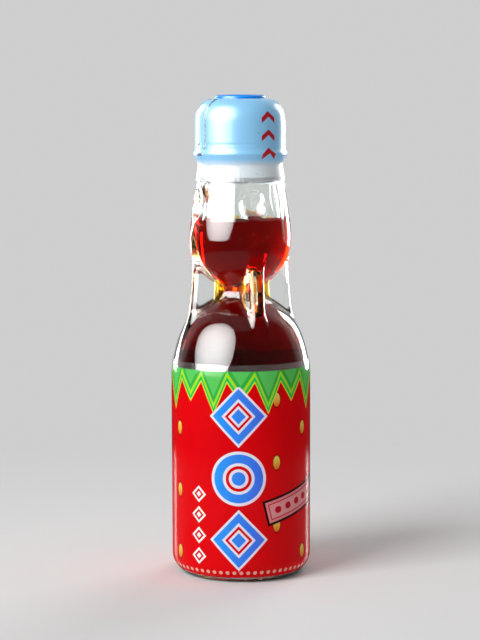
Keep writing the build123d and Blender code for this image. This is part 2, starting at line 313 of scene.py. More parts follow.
def rounded(corner, before, after, radius):
    """An arc that rounds a corner between two straight runs."""
    corner, before, after = (np.array(point, float) for point in (corner, before, after))
    back = (before - corner) / np.linalg.norm(before - corner)
    on = (after - corner) / np.linalg.norm(after - corner)
    half = acos(float(np.clip(back @ on, -1, 1))) / 2
    cut = radius / np.tan(half)
    centre = corner + (back + on) / np.linalg.norm(back + on) * radius / sin(half)
    first = corner + back * cut - centre
    last = corner + on * cut - centre
    start = degrees(atan2(first[1], first[0]))
    turn = (degrees(atan2(last[1], last[0])) - start + 180) % 360 - 180
    return arc(tuple(centre), radius, start, start + turn, 6)


punt_radius = body_radius - base_corner - foot_width
bowl_out, over_out = chamber(chamber_radius, waist_end)
rim_round = 1.1
foot_round = 0.8
ledge_corner = (ledge_radius, ledge_height)
outside = [
    *arc_through(
        (0, punt_height),
        (punt_radius * punt_share, punt_height * punt_rise_share),
        (punt_radius - foot_round, foot_edge),
    ),
    (punt_radius, 0.0),
    *arc((body_radius - base_corner, base_corner), base_corner, -90, 0, 24),
    (body_radius, base_corner),
    (body_radius, body_top),
    *dome(body_radius, waist_end, dome_top),
    *arc_through((waist_end, dome_top), (waist_radius, dome_top + waist_length / 2), bowl_out[0]),
    *bowl_out,
    *over_out,
    taper_start,
    (neck_top_radius, neck_top),
    *rounded(ledge_corner, (neck_top_radius, neck_top), (mouth_radius, ledge_height), 0.3),
    *rounded((mouth_radius, ledge_height), ledge_corner, (mouth_radius, rim_height), 0.4),
    *arc((mouth_radius - bead_width, bead_height), 2 * bead_width, -60, 60),
    *rounded((mouth_radius, rim_height), (mouth_radius, ledge_height), (0, rim_height), rim_round),
]
side = body_radius - wall
floor_middle = punt_height + base_thickness
floor_edge = floor_middle - floor_dish
floor_reach = side - base_corner
dome_low = dome_top - dome_inset
bowl_in, over_in = chamber(chamber_radius - wall, passage_end)
throat = (neck_radius(throat_bottom) - wall, throat_bottom)
floor_curve = arc_through(
    (0, floor_middle),
    (floor_reach * punt_share, floor_middle - floor_dish * floor_drop_share),
    (floor_reach, floor_edge),
)
inside_up = [
    *floor_curve,
    *arc((floor_reach, floor_edge + base_corner), base_corner, -90, 0, 24),
    (side, floor_edge + base_corner),
    (side, body_top),
    *dome(side, passage_end, dome_low),
    *arc_through((passage_end, dome_low), (passage_radius, (dome_low + bowl_in[0][1]) / 2), bowl_in[0]),
    *bowl_in,
    *over_in,
    *rounded(throat, over_in[-1], (mouth_bore, ledge_height), 6.0),
    *rounded((mouth_bore, ledge_height), throat, (mouth_bore, rim_height), 6.0),
    *rounded((mouth_bore, rim_height), (mouth_bore, ledge_height), (mouth_radius, rim_height), rim_round),
]
outer_spacing, inner_spacing = 1.1, 1.25
outer_rows = even(outside, outer_spacing, 60)
inner_rows_up = even(inside_up, inner_spacing, 60)
inner_rows = inner_rows_up[::-1]
print("rows of the glass:", len(outer_rows), "outside and", len(inner_rows), "inside")

# %% [markdown]
# The columns of the mesh stand closer together at the four ridges, where the radius changes fast. A ridge is a plate
# with a round edge: seen from above, a ray from the axis leaves it through the round edge near the middle and through
# its flat side further out. A smooth maximum joins that to the round glass and leaves a fillet.

# %% Ridges, dents and dimples as formulas on the radius
ridge_angles = (-70, 20, 110, 200)
ridge_half_width = 3.5
ridge_foot = (24.6, 99.5)
ridge_middle = (22.1, 114.5)
ridge_head = (chamber_radius - 0.1, chamber_centre)
ridge_wall = 9.5
groove_half_width = 1.2
dimple_angles = (-73, -157)
dimple_height = neck_top - 15.5
dimple_size = (4.6, 6.2)
dimple_depth = 3.1
dimple_wall = 3.6
outer_ridge_fillet, inner_ridge_fillet = 3.4, 2.0
outer_dimple_fillet, inner_dimple_fillet = 2.2, 1.5
outer_ripple, inner_ripple = 0.012, 0.09
skin_inset = 0.03  # keeps the waves of the skin inside the CAD's box

near_share = np.arange(44) / 44
far_share = np.arange(20) / 20
quarter = np.concatenate([-24 + 48 * near_share, 24 + 42 * far_share])
glass_angles = np.radians(np.concatenate([quarter + angle for angle in ridge_angles]))


def soft_max(first, second, blend):
    share = np.clip(0.5 + 0.5 * (second - first) / blend, 0, 1)
    return first + (second - first) * share + blend * share * (1 - share)


def from_nearest(angles, targets):
    """The angle from the nearest of the targets, with its sign."""
    away = (angles[:, None] - np.radians(targets)[None, :] + pi) % (2 * pi) - pi
    return np.take_along_axis(away, np.abs(away).argmin(1)[:, None], 1)[:, 0]


tip_circle = np.array([ridge_foot, ridge_middle, ridge_head])


def ridge_tip(heights, inset):
    """How far out the edge of a ridge reaches at each height. It dies away past the ridge's two ends."""
    tips = np.polyval(np.polyfit(tip_circle[:, 1], tip_circle[:, 0], 2), heights)
    above = np.clip(heights - ridge_head[1], 0, None)
    below = np.clip(ridge_foot[1] - heights, 0, None)
    return tips - inset - 0.25 * above - 0.06 * above**2 - 0.1 * below**2


def plate(tips, offsets, half_width):
    """The radius of a plate with a round edge, seen at each angle from its middle."""
    centre = np.clip(tips - half_width, 0.5, None)
    aside = np.abs(np.sin(offsets))
    within = np.clip(half_width**2 - (centre * aside) ** 2, 0, None)
    edge = centre * np.cos(offsets) + np.sqrt(within)
    flat = half_width / np.clip(aside, 1e-4, None)
    return np.where(centre * aside < half_width * np.cos(offsets), edge, np.minimum(flat, edge + 50))


def with_ridges(radii, heights, angles, inset, half_width, blend):
    offsets = from_nearest(angles, ridge_angles)[None, :]
    plates = plate(ridge_tip(heights, inset), offsets, half_width)
    fade = np.clip((heights - ridge_foot[1] + 14) / 6, 0, 1) * np.clip((ridge_head[1] + 12 - heights) / 6, 0, 1)
    blended = soft_max(radii, plates, blend)
    return radii + (blended - radii) * fade


def with_dimples(radii, heights, angles, growth, blend):
    """Pressed ovals: the glass outside is pushed in and the inside bulges by as much and a wall more."""
    offsets = from_nearest(angles, dimple_angles)[None, :]
    wide, tall = dimple_size
    middle = neck_radius(dimple_height) - dimple_depth + wide
    size = wide + growth
    room = size**2 * (1 - ((heights - dimple_height) / (tall + growth)) ** 2) - (middle * np.sin(offsets)) ** 2
    near = middle * np.cos(offsets) - np.sqrt(np.clip(room, 0, None))
    pressed = -soft_max(-radii, -near, blend)
    return np.where((room > 0) & (np.cos(offsets) > 0), pressed, radii)


def ripple(angles, heights, size):
    """The slow waves that blowing leaves in the wall."""
    waves = np.sin(3 * angles + heights / 9) + np.sin(7 * angles - heights / 5.3 + 1) * 0.6
    return size * (waves + np.sin(5 * angles + heights / 3.1 + 2) * 0.4)


print("ridge reach at the waist:", round(float(ridge_tip(np.array(dome_top), 0)), 2))

# %% Radii of the outside and the inside
def outside_radii(rows, angles):
    radii, heights = spread(rows, angles)
    shaped = with_ridges(radii, heights, angles, 0, ridge_half_width, outer_ridge_fillet)
    shaped = with_dimples(shaped, heights, angles, 0, outer_dimple_fillet)
    skin = (heights > base_corner) & (heights < neck_top) & (radii > waist_radius)
    return np.where(skin, shaped - skin_inset + ripple(angles[None, :], heights, outer_ripple), radii)


def inside_radii(rows, angles, growth=0.0):
    radii, heights = spread(rows, angles)
    shaped = with_ridges(radii, heights, angles, ridge_wall, groove_half_width, inner_ridge_fillet)
    shaped = with_dimples(shaped, heights, angles, dimple_wall, inner_dimple_fillet)
    wavy = np.clip((heights - floor_edge) / 10, 0, 1) * np.clip((throat_bottom - heights) / 6, 0, 1)
    return shaped + wavy * ripple(angles[None, :], heights, inner_ripple) * (radii > 3) + growth


rows = np.concatenate([outer_rows, inner_rows])
radii = np.concatenate([outside_radii(outer_rows, glass_angles), inside_radii(inner_rows, glass_angles)])
glass = lathe("glass_bottle_blown", rows, glass_angles, radii, sharp=60)
place(glass, "bottle", "clear_glass", "glass_bottle")

# %% [markdown]
# ## The drink
#
# The drink fills the glass, so its skin must be the glass's inner skin. Two skins in the same place flicker, and a gap
# would look like air, so the drink reaches a hair into the glass. Below the surface the glass's own material bends the
# light for both. At the top the surface creeps up the wall in a meniscus.

# %% Drink with its meniscus
into_glass = 0.06
meniscus_rise = 1.5
meniscus_reach = 2.6
wet = inner_rows_up[inner_rows_up[:, 1] < fill_height + meniscus_rise]
edge_radius = wet[-1, 0]
surface_rows = 25
top_shares = np.linspace(1, 0, surface_rows + 1)[1:]
surface = [
    (edge_radius * share, fill_height + meniscus_rise * np.exp(-edge_radius * (1 - share) / meniscus_reach * 2))
    for share in top_shares
]
surface[-1] = (0.0, surface[-1][1])
side_radii = inside_radii(wet, glass_angles, into_glass)
side_radii[0] = 0
top_radii = side_radii[-1:] * top_shares[:, None]
drink = lathe(
    "drink_in_bottle",
    np.concatenate([wet, surface]),
    glass_angles,
    np.concatenate([side_radii, top_radii]),
    sharp=60,
)
place(drink, "bottle", "red_drink", "drink")

# %% [markdown]
# ## Nodes
#
# Materials and Geometry Nodes are both trees of nodes. One function adds a node with its settings and links, and two
# more set up a tree for a modifier and run it. What repeats on the bottle is made with them further on.

# %% One function for nodes, and two for a tree that makes a piece
def add(tree, kind, *inputs, **settings):
    """Adds a node, sets its settings and fills its inputs in order: a link, a value, or None to leave one alone.

    A kind in capitals is an operation of the Math node.
    """
    if kind.isupper():
        kind, settings = "ShaderNodeMath", {"operation": kind, **settings}
    node = tree.nodes.new(kind)
    for name, value in settings.items():
        setattr(node, name, value)
    for socket, value in zip(node.inputs, inputs):
        if isinstance(value, bpy.types.NodeSocket):
            tree.links.new(value, socket)
        elif isinstance(value, bpy.types.Node):
            tree.links.new(value.outputs[0], socket)
        elif value is not None:
            socket.default_value = value
    return node


def new_tree(name, sizes):
    """A tree for a modifier, with a named input for each of its sizes."""
    tree = bpy.data.node_groups.new(name, "GeometryNodeTree")
    tree.interface.new_socket("Geometry", in_out="OUTPUT", socket_type="NodeSocketGeometry")
    for size, value in sizes.items():
        kind = "NodeSocketInt" if isinstance(value, int) else "NodeSocketFloat"
        tree.interface.new_socket(size, in_out="INPUT", socket_type=kind)
    tree.interface.new_socket("Material", in_out="INPUT", socket_type="NodeSocketMaterial")
    return tree, tree.nodes.new("NodeGroupInput").outputs, tree.nodes.new("NodeGroupOutput")


def run_tree(name, tree, sizes, material):
    """Runs a tree on an empty mesh and returns its result as a plain mesh."""
    carrier = in_scene(name + "_carrier", bpy.data.meshes.new(name + "_carrier"))
    modifier = carrier.modifiers.new(name, "NODES")
    modifier.node_group = tree
    for socket in tree.interface.items_tree:
        if socket.in_out == "INPUT":
            modifier[socket.identifier] = material if socket.name == "Material" else sizes[socket.name]
    carrier.update_tag()
    mesh = applied(carrier)
    bpy.data.objects.remove(carrier)
    mesh.name = name
    return in_scene(name, mesh)

# %% [markdown]
# ## The printed sleeve
#
# The sleeve is a printed tube of clear shrink film. It follows the glass from the corner of the base up on to the
# shoulder, so its outline is the glass's outline grown by the gap and by its own thickness.

# %% Sleeve shrunk round the body
film_gap = 0.1
film_thickness = 0.2
sleeve_out_spacing, sleeve_in_spacing = 1.3, 2.6
shrink_depth = 0.05


def sleeve_side(growth):
    corner = (body_radius - base_corner, base_corner)
    size = base_corner + growth
    start = degrees(acos((base_corner - label_low) / size)) - 90
    shoulder = dome(body_radius + growth, waist_end + growth, dome_top)
    top = np.interp(label_high, *np.array(shoulder).T[::-1])
    return [
        *arc(corner, size, start, 0, 20),
        (body_radius + growth, base_corner),
        (body_radius + growth, body_top),
        *(point for point in shoulder if point[1] < label_high),
        (float(top), label_high),
    ]


sleeve_out = even(sleeve_side(film_gap + film_thickness), sleeve_out_spacing, 60)
sleeve_in = even(sleeve_side(film_gap), sleeve_in_spacing, 60)[::-1]
sleeve_rows = np.concatenate([sleeve_out, sleeve_in])
sleeve_angles = full_turn(240)
shrink_marks = np.exp(-((sleeve_rows[:, 1:2] - label_high) / 2.5) ** 2) + np.exp(
    -((sleeve_rows[:, 1:2] - label_low) / 3.0) ** 2
)
shrink_waves = 0.5 + 0.25 * np.sin(23 * sleeve_angles) + 0.25 * np.sin(41 * sleeve_angles + 1)
sleeve_radii = sleeve_rows[:, :1] - shrink_depth * shrink_marks * shrink_waves[None, :]
sleeve = lathe("label_sleeve_shrunk", sleeve_rows, sleeve_angles, sleeve_radii, sharp=50)
place(sleeve, "bottle", "printed_sleeve", "label_sleeve")

# %% [markdown]
# ## Marble, gasket and collar
#
# These sit inside the cap and show when the opener is lifted. They are lathe shapes with the small radii that
# grinding, punching and moulding leave on such parts.

# %% Marble
marble_centre = (marble_low + marble_high) / 2
marble_rows = np.array(arc((0, marble_centre), marble_radius, -90, 90, 64))
marble_rows[[0, -1], 0] = 0
marble = lathe("marble_ground", marble_rows, full_turn(128), sharp=80)
place(marble, "marble", "marble_glass", "marble")

# %% Gasket and collar
def soft_outline(corners, radius):
    """An outline with each corner rounded. A corner may have a radius of its own as a third number.

    A radius of nought leaves a corner sharp, as on the axis.
    """
    points = []
    for number, corner in enumerate(corners):
        before, after = corners[number - 1], corners[(number + 1) % len(corners)]
        own = corner[2] if len(corner) > 2 else radius
        points += rounded(corner[:2], before[:2], after[:2], own) if own else [corner[:2]]
    return np.array(points)


touch_gap = 0.03
gasket_hole = 7.2
gasket = lathe(
    "mouth_gasket_punched",
    soft_outline(
        [
            (gasket_hole, gasket_low + touch_gap),
            (gasket_radius, gasket_low + touch_gap),
            (gasket_radius, gasket_high - touch_gap),
            (gasket_hole, gasket_high - touch_gap),
        ],
        0.35,
    ),
    full_turn(128),
)
place(gasket, "bottle", "seal_rubber", "mouth_gasket")

collar_lip = 0.6
collar_lip_height = 1.2
collar_side = collar_radius - collar_lip
collar_bore = 7.6
collar_grip = mouth_radius + touch_gap
groove = bead_width + touch_gap
collar = lathe(
    "mouth_collar_moulded",
    soft_outline(
        [
            (collar_grip, collar_low, 0.15),
            (collar_radius, collar_low),
            (collar_radius, collar_low + collar_lip_height),
            (collar_side, collar_low + collar_lip_height),
            (collar_side, collar_high, 0.6),
            (collar_bore, collar_high, 0.4),
            (collar_bore, gasket_high, 0.2),
            (collar_grip, gasket_high, 0.2),
            (collar_grip, bead_height + 2 * groove, 0.3),
            (collar_grip + groove, bead_height + 0.5 * groove, 0.3),
            (collar_grip + groove, bead_height - 0.5 * groove, 0.3),
            (collar_grip, bead_height - 2 * groove, 0.3),
        ],
        0.2,
    ),
    full_turn(160),
)
place(collar, "bottle", "blue_plastic", "mouth_collar")

# %% [markdown]
# ## Opener and plunger
#
# The opener is a domed ring. Under its top the plunger hangs in a round hole on four small tabs, which break when the
# plunger is pushed out. The post under the disc is a cross of two ribs that ends in a small round plate.

# %% Opener ring
bulge_depth = 0.84
opener_wall = 1.84
opener_side = bulge_radius - bulge_depth
opener_foot = opener_side - 0.54  # it leans in below the bulge
opener_crown = opener_high - 0.5
opener_dome = 8.9
opener_inner = opener_side - opener_wall
hole_radius = plunger_radius + 0.6
land_radius = hole_radius + 0.7
top_wall = 1.5
bulge_height = opener_low + 3.0
bulge_end = bulge_height + 1.8
side_top = opener_crown - opener_dome
lip_top = collar_low + collar_lip_height + 0.2
opener_rows = [
    (opener_foot, opener_low),
    *rounded((bulge_radius, bulge_height), (opener_side, opener_low), (opener_side, bulge_end), 0.35),
    *rounded((opener_side, bulge_end), (bulge_radius, bulge_height), (opener_side, side_top), 0.6),
    *arc((land_radius, side_top), (opener_side - land_radius, opener_dome), 0, 90, 28),
    *rounded((hole_radius, opener_crown), (land_radius, opener_crown), (hole_radius, opener_low), 0.2),
    (hole_radius, opener_crown - top_wall),
    *arc((land_radius, side_top), (opener_inner - land_radius, opener_dome - top_wall), 90, 0, 24),
    (opener_inner, lip_top),
    (opener_inner + collar_lip, lip_top),
    (opener_inner + collar_lip, opener_low),
]
opener = lathe("opener_ring_moulded", np.array(opener_rows), full_turn(160))
place(opener, "opener", "blue_plastic", "opener_ring")

# %% Plunger: disc, post and tip
disc_thickness = 2.3
disc_low = plunger_high - disc_thickness
disc_edge = plunger_high - 0.45  # where its side ends and its crown starts
disc_crown = film_high
dish_floor = disc_crown - 0.35
dish_radius = 8.8
dish_edge = dish_radius + 0.5
disc_rows = soft_outline([
    (0, disc_low),
    (plunger_radius, disc_low, 0.15),
    (plunger_radius, disc_edge, 0.4),
    (dish_edge, disc_crown, 0.25),
    (dish_radius, dish_floor, 0.3),
    (0, dish_floor),
], 0)
post_radius = 5.0
rib_half = 1.0
tip_top = plunger_low + 1
tip_rows = soft_outline([
    (0, plunger_low),
    (post_radius, plunger_low, 0.3),
    (post_radius, tip_top, 0.2),
    (0, tip_top),
], 0)
post_ends = (plunger_low + 0.5, disc_low + 0.2)  # it runs a little way into the tip and into the disc


def cross_outline():
    """The section of the post: two crossed ribs with round outer edges and filleted inner corners."""
    quarter = [
        *arc((post_radius - rib_half, 0), rib_half, 0, 90, 6),
        *arc((2 * rib_half, 2 * rib_half), rib_half, 270, 180, 6),
        *arc((0, post_radius - rib_half), rib_half, 0, 90, 6)[:-1],
    ]
    points = []
    for turn in range(4):
        ca, sa = round(cos(turn * pi / 2)), round(sin(turn * pi / 2))
        points += [(x * ca - y * sa, x * sa + y * ca) for x, y in quarter]
    return points


section = cross_outline()
count = len(section)
post_vertices = [(x, y, z) for z in post_ends for x, y in section]
post_faces = [(i, (i + 1) % count, (i + 1) % count + count, i + count) for i in range(count)]
post_faces += [tuple(range(count))[::-1], tuple(range(count, 2 * count))]
parts = [
    lathe("disc", disc_rows, full_turn(160)),
    lathe("tip", tip_rows, full_turn(64)),
    mesh_object("post", post_vertices, post_faces),
]


def joined(name, pieces):
    """One piece from several closed ones."""
    bpy.ops.object.select_all(action="DESELECT")
    for piece in pieces:
        piece.select_set(True)
    bpy.context.view_layer.objects.active = pieces[0]
    bpy.ops.object.join()
    pieces[0].name = pieces[0].data.name = name
    return pieces[0]


plunger = joined("plunger_moulded", parts)
place(plunger, "plunger", "plunger_plastic", "plunger")

# %% [markdown]
# ## The shrink film and its tear strip
#
# The film is one skin, cut by a perforated line that frees a strip at the left. Both come from one grid: its columns
# bend to follow the two long edges of the strip, and the faces inside that line go to the strip. So the film and the
# strip meet exactly, with the narrow gap of the perforation between them.

# %% Outline of the film
strip_angle = radians(-154)
strip_half_width = 4.5
strip_bottom = opener_low + 2.7
strip_top_radius = land_radius + 1.1
strip_gap = 0.1
film_spacing = 0.45
film_ease = 0.9  # how far the film rounds off the edges under it
strip_corner = (1.4, 3.3)
slot_height = strip_bottom + 4.0
slot_width_share = 0.289  # of the strip's width
slot_tall = 0.8
skin = film_gap + film_thickness
lip_low = opener_crown + skin + 0.05  # from here the film stands up round the disc
film_side = [
    (neck_radius(film_low) + skin, film_low),
    (neck_top_radius + skin, neck_top),
    (opener_foot + skin, opener_low),
    (bulge_radius + skin, bulge_height),
    (opener_side + skin, bulge_end),
    (opener_side + skin, side_top),
    *arc((land_radius, side_top), (opener_side - land_radius + skin, opener_dome + skin), 0, 90, 40),
    (plunger_radius + 0.5, lip_low),
    (plunger_radius + 0.2, opener_crown + 1.2),
]


def smoothed(points, reach, spacing=0.1):
    """The outline with its corners eased, as film drawn over an edge."""
    points = even(points, spacing, 400)
    size = max(1, round(reach / spacing))
    padded = np.concatenate([np.repeat(points[:1], size, 0), points, np.repeat(points[-1:], size, 0)])
    kernel = np.hanning(2 * size + 1)
    kernel /= kernel.sum()
    return np.stack([np.convolve(padded[:, axis], kernel, "valid") for axis in (0, 1)], 1)


film_line = smoothed(film_side, film_ease)
along = np.concatenate([[0], np.cumsum(np.linalg.norm(np.diff(film_line, axis=0), axis=1))])


def along_at_height(height):
    rising = film_line[:, 1] < opener_crown
    return float(np.interp(height, film_line[rising, 1], along[rising]))


def along_at_radius(radius):
    top = film_line[:, 1] > side_top
    return float(np.interp(-radius, -film_line[top, 0], along[top]))


stop_heights = (
    strip_bottom - strip_gap,
    strip_bottom,
    strip_bottom + strip_corner[1],
    slot_height - slot_tall / 2,
    slot_height + slot_tall / 2,
)
stops = [
    0.0,
    *map(along_at_height, stop_heights),
    along_at_radius(strip_top_radius),
    along_at_radius(strip_top_radius - strip_gap),
    along[-1],
]
film_places = [0.0]
row_of_stop = [0]
for first, last in zip(stops, stops[1:]):
    steps = max(1, round((last - first) / film_spacing))
    film_places += list(np.linspace(first, last, steps + 1)[1:])
    row_of_stop.append(len(film_places) - 1)
film_rows = np.stack([np.interp(film_places, along, film_line[:, axis]) for axis in (0, 1)], 1)
print("rows of the film:", len(film_rows))

# %% Columns that follow the strip's edges
half_shares = np.array([0, 0.14, slot_width_share, 0.44, 0.6, 0.8, 1])
strip_shares = np.concatenate([-half_shares[:0:-1], half_shares])
side_columns = 110
half_widths = strip_half_width - strip_corner[0] * np.clip(
    1 - (film_rows[:, 1] - strip_bottom) / strip_corner[1], 0, 1
)
strip_turns = np.arcsin(np.clip(half_widths[:, None] * strip_shares / film_rows[:, :1], -1, 1))
edge_turns = np.arcsin(np.clip((half_widths + strip_gap) / film_rows[:, 0], -1, 1))[:, None]
side_shares = np.arange(side_columns) / side_columns
right_turns = edge_turns + (pi - edge_turns) * side_shares
back = np.full((len(film_rows), 1), pi)
left_turns = 2 * pi - right_turns[:, :0:-1]
film_turns = np.concatenate([strip_turns, right_turns, back, left_turns, 2 * pi - edge_turns], 1)
film_angles = strip_angle + film_turns
strip_columns = len(strip_shares)
low_edge = np.exp(-((film_rows[:, 1:2] - film_low) / 3.2) ** 2)
wrinkle = np.abs(np.sin(13 * film_angles) * np.sin(29 * film_angles + 0.7)) * 0.1
creases = 0.05 * np.exp(-((film_rows[:, 1:2] - bulge_height + 2.4) / 1.3) ** 2) * (1 + np.sin(37 * film_angles))
slot_line = -0.12 * np.exp(-((film_rows[:, 1:2] - slot_height) / 0.35) ** 2)
film_radii = film_rows[:, :1] + low_edge * wrinkle + creases + slot_line
ragged = np.sin(11 * film_angles[:1]) * np.sin(31 * film_angles[:1] + 2)
film_heights = film_rows[:, 1:2] + np.clip(low_edge - 0.6, 0, 1) * np.clip(0.18 * ragged, 0, 1)
lip = np.clip(film_rows[:, 1:2] - lip_low, 0, 1)
lip_share = np.clip((np.abs(np.cos(film_angles)) - 0.7) / 0.25, 0.1, 1) + 0.3 * np.clip(ragged - 0.3, 0, 1)
film_heights = film_heights - lip * (1 - np.clip(lip_share, 0, 1))
film_points = np.stack(
    [film_radii * np.cos(film_angles), film_radii * np.sin(film_angles), film_heights], -1
)
print("columns of the film:", film_points.shape[1])

# %% Film and strip from one grid
film_index = np.arange(film_points[..., 0].size).reshape(film_points.shape[:2])


def grid_faces(keep):
    beside = np.roll(film_index, -1, axis=1)
    quads = np.stack([film_index[:-1], beside[:-1], beside[1:], film_index[1:]], -1)
    return quads[keep]


cells = (len(film_rows) - 1, film_points.shape[1])
row_number, column_number = np.indices(cells)
in_strip_rows = (row_number >= row_of_stop[2]) & (row_number < row_of_stop[6])
in_hole_rows = (row_number >= row_of_stop[1]) & (row_number < row_of_stop[7])
in_strip_columns = column_number < strip_columns - 1
in_hole_columns = (column_number < strip_columns) | (column_number == cells[1] - 1)
slot_columns = (strip_shares[:-1] >= -slot_width_share) & (strip_shares[1:] <= slot_width_share)
in_slot = (row_number >= row_of_stop[4]) & (row_number < row_of_stop[5]) & in_strip_columns
in_slot[:, :strip_columns - 1] &= slot_columns[None, :]


def skin_piece(name, keep):
    """The kept cells of the film's grid, given their thickness inwards."""
    faces = grid_faces(keep)
    used, numbers = np.unique(faces, return_inverse=True)
    piece = mesh_object(name, film_points.reshape(-1, 3)[used], numbers.reshape(faces.shape).tolist(), 60)
    solidify = piece.modifiers.new("thickness", "SOLIDIFY")
    solidify.thickness = film_thickness * MM
    solidify.offset = -1
    thick = applied(piece)
    piece.modifiers.clear()
    piece.data = thick
    return piece


film = skin_piece("seal_film_shrunk", ~(in_hole_rows & in_hole_columns))
place(film, "opener", "pale_film", "seal_film")
strip = skin_piece("tear_strip_shrunk", in_strip_rows & in_strip_columns & ~in_slot)
place(strip, "tear_strip", "pale_film", "tear_strip")

# %% [markdown]
# ## Materials
#
# Colours are written as the hex values that a paint shop or a screen uses and turned to Blender's linear values by
# one function. A second one starts a material from a Principled shader, and takes its uniform values by their names,
# because values set on the shader itself survive the export. Others give a skin its unevenness from a noise, and fill
# a clear body with its colour.

# %% Colour and material helpers
def colour(code):
    channels = [int(code[start:start + 2], 16) / 255 for start in (1, 3, 5)]
    linear = [value / 12.92 if value <= 0.04045 else ((value + 0.055) / 1.055) ** 2.4 for value in channels]
    return (*linear, 1.0)


def material(name, values):
    made = bpy.data.materials.new(name)
    made.use_nodes = True
    shader = made.node_tree.nodes["Principled BSDF"]
    for socket, value in values.items():
        shader.inputs[socket].default_value = value
    return made, made.node_tree, shader


def link(tree, source, target):
    tree.links.new(source.outputs[0] if isinstance(source, bpy.types.Node) else source, target)


def wear(piece, *materials):
    """Gives a piece its materials in order."""
    piece.data.materials.clear()
    for made in materials:
        piece.data.materials.append(made)


def uneven(tree, shader, grain, depth, vector=None, share=None):
    """Lets a noise with this grain raise the skin by this depth, both in millimetres."""
    if vector is None:
        vector = add(tree, "ShaderNodeTexCoord").outputs["Object"]
        grain *= MM
    height = add(tree, "ShaderNodeTexNoise", vector, None, 1 / grain)
    if share is not None:
        height = add(tree, "MULTIPLY", height, share)
    raised = add(tree, "ShaderNodeBump")
    raised.inputs["Distance"].default_value = depth * MM
    link(tree, height, raised.inputs["Height"])
    link(tree, raised, shader.inputs["Normal"])


def tinted(tree, red, green, blue):
    """Fills a clear material with a colour: how much of each light a millimetre of it takes out, in nepers."""
    strongest = max(red, green, blue)
    passed = tuple(1 - share / strongest for share in (red, green, blue))
    body = add(tree, "ShaderNodeVolumeAbsorption", (*passed, 1.0), strongest / MM)
    link(tree, body, tree.nodes["Material Output"].inputs["Volume"])


# %% [markdown]
# ### Clear glass
#
# Blown soda-lime glass bends light with an index of 1.52 and has a faint green tint. The mould leaves a slow
# unevenness in its skin that makes highlights swim a little. Where the drink wets it, light goes from 1.52 to 1.34,
# so those inner faces have a second material with the quotient as their index: two skins that each mirror as if
# against air would lay a grey haze over the drink.

# %% Soda-lime glass, blown in a mould
glass_index, drink_index = 1.52, 1.34
glass_skins = []
for name, index in (("soda_lime_glass_blown", glass_index), ("soda_lime_glass_wetted", glass_index / drink_index)):
    made, tree, shader = material(name, {
        "Base Color": colour("#FBFFFD"), "Roughness": 0.0, "IOR": index, "Transmission Weight": 1.0,
    })
    uneven(tree, shader, 7.0, 0.02)
    glass_skins.append(made)
wear(glass, *glass_skins)
first_inner_face = (len(outer_rows) - 1) * len(glass_angles)
for face in glass.data.polygons:
    wetted = face.index >= first_inner_face and punt_height + 1 < face.center.z / MM < fill_height
    face.material_index = int(wetted)
print("wetted faces:", sum(face.material_index for face in glass.data.polygons))

# %% [markdown]
# ### The drink
#
# A red syrup drink takes out blue light within a millimetre, green within a few, and red only over centimetres. So
# thin edges look orange and the middle deep red. The wetted glass already bends the light for both, so the drink's own
# index works only at its free surface, by height.

# %% Red syrup drink
drink_material, tree, shader = material("red_syrup_drink", {
    "Base Color": (1, 1, 1, 1), "Roughness": 0.0, "IOR": drink_index, "Transmission Weight": 1.0,
})
tinted(tree, 0.05, 0.3, 1.3)
split = add(tree, "ShaderNodeSeparateXYZ", add(tree, "ShaderNodeTexCoord").outputs["Object"])
free_surface = add(tree, "GREATER_THAN", split.outputs["Z"], (fill_height - 0.02) * MM)
link(tree, add(tree, "MULTIPLY_ADD", free_surface, drink_index - 1.0, 1.0), shader.inputs["IOR"])
wear(drink, drink_material)

# %% [markdown]
# ### Marble, rubber and plastics
#
# The marble is cast and ground from bottle glass with an aqua tint. The gasket is a silicone rubber with a dull,
# slightly mottled skin. The collar, opener and plunger are polyethylene, moulded in blue: light goes a little way in,
# and the mould's fine texture leaves a soft gloss.

# %% Marble of aqua glass
marble_material, tree, shader = material("aqua_glass_ground", {
    "Base Color": (0.97, 1, 1, 1), "Roughness": 0.01, "IOR": 1.52, "Transmission Weight": 1.0,
})
uneven(tree, shader, 2.5, 0.005)
tinted(tree, 0.038, 0.009, 0.0055)
wear(marble, marble_material)


# %% Silicone rubber and moulded polyethylene
def mottled(name, dark, light, grain, values):
    """A material whose colour drifts between two near tones, with a fine moulded texture."""
    made, tree, shader = material(name, values)
    vector = add(tree, "ShaderNodeTexCoord").outputs["Object"]
    drift = add(tree, "ShaderNodeTexNoise", vector, None, 1 / (grain * MM))
    tones = add(tree, "ShaderNodeMix", drift, data_type="RGBA")
    tones.inputs[6].default_value = colour(dark)
    tones.inputs[7].default_value = colour(light)
    link(tree, tones.outputs[2], shader.inputs["Base Color"])
    uneven(tree, shader, grain / 8, 0.005)
    return made


rubber = mottled("silicone_rubber_punched", "#C9C2B6", "#E4DED3", 4.0, {
    "Roughness": 0.55, "IOR": 1.43, "Subsurface Weight": 0.15, "Subsurface Scale": 0.001,
})
ring_plastic = mottled("polyethylene_moulded_pale_blue", "#4FA6E8", "#66B6F0", 6.0, {
    "Roughness": 0.34, "IOR": 1.51, "Subsurface Weight": 0.2, "Subsurface Scale": 0.001,
})
plunger_plastic = mottled("polyethylene_moulded_bright_blue", "#0A86F2", "#18A0FF", 6.0, {
    "Roughness": 0.22, "IOR": 1.51, "Subsurface Weight": 0.1, "Subsurface Scale": 0.001,
})
wear(gasket, rubber)
wear(collar, ring_plastic)
wear(opener, ring_plastic)
wear(plunger, plunger_plastic)

# %% [markdown]
# ## What repeats on the closure
#
# Four tabs hold the plunger in its hole. Small blocks on a ring of points, turned to face outwards, are one tree with
# the count and the sizes as its inputs.

